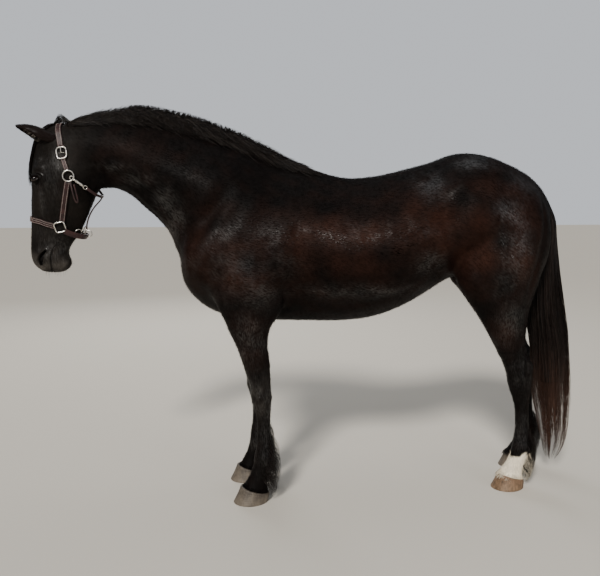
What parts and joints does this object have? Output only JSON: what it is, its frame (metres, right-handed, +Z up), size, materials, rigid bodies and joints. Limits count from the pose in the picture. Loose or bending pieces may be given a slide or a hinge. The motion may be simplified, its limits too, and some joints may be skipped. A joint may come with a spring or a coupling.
{
  "type": "horse",
  "caption": "Life-size still model of a black Friesian horse standing in a leather halter, with long mane and tail, feathered fetlocks and a white sock on the left hind leg.",
  "frame": {"origin": "on the floor, under the middle of the horse's bounding box", "axes": "the horse faces -X, its left side is at -Y, +Z is up"},
  "size_m": [2.6546, 0.6263, 1.8338],
  "materials": {
    "coat": "short glossy black hair with warm brown where it is sun-bleached",
    "long_hair": "long soft black hair",
    "white_sock": "short white hair",
    "dark_horn": "dull grey-brown hoof horn",
    "pale_horn": "dull pinkish tan hoof horn",
    "eye": "wet, very dark brown",
    "halter_leather": "dark brown leather with pale stitching",
    "halter_metal": "slightly dulled silver-coloured metal"
  },
  "bodies": {
    "root": {"head": "coat", "neck": "coat", "trunk": "coat", "ear_left": "coat", "ear_right": "coat", "eye_left": "eye", "eye_right": "eye", "forelock": "long_hair", "mane": "long_hair", "tail": "long_hair", "foreleg_left.forearm": "coat", "foreleg_left.cannon": "coat", "foreleg_left.pastern": "coat", "foreleg_left.hoof": "dark_horn", "foreleg_left.feather": "long_hair", "foreleg_right.forearm": "coat", "foreleg_right.cannon": "coat", "foreleg_right.pastern": "coat", "foreleg_right.hoof": "dark_horn", "foreleg_right.feather": "long_hair", "hindleg_left.thigh": "coat", "hindleg_left.cannon": "coat", "hindleg_left.pastern": "white_sock", "hindleg_left.hoof": "pale_horn", "hindleg_left.feather": "long_hair", "hindleg_right.thigh": "coat", "hindleg_right.cannon": "coat", "hindleg_right.pastern": "coat", "hindleg_right.hoof": "dark_horn", "hindleg_right.feather": "long_hair", "halter.crownpiece": "halter_leather", "halter.noseband": "halter_leather", "halter.chin_strap": "halter_leather", "halter.throat_strap": "halter_leather", "halter.jaw_strap": "halter_leather", "halter.cheek_strap_left": "halter_leather", "halter.cheek_strap_right": "halter_leather", "halter.upper_strap_left": "halter_leather", "halter.upper_strap_right": "halter_leather", "halter.buckle_left": "halter_metal", "halter.buckle_right": "halter_metal", "halter.cheek_ring_left": "halter_metal", "halter.cheek_ring_right": "halter_metal", "halter.square_ring_left": "halter_metal", "halter.square_ring_right": "halter_metal"}
  },
  "joints": []
}
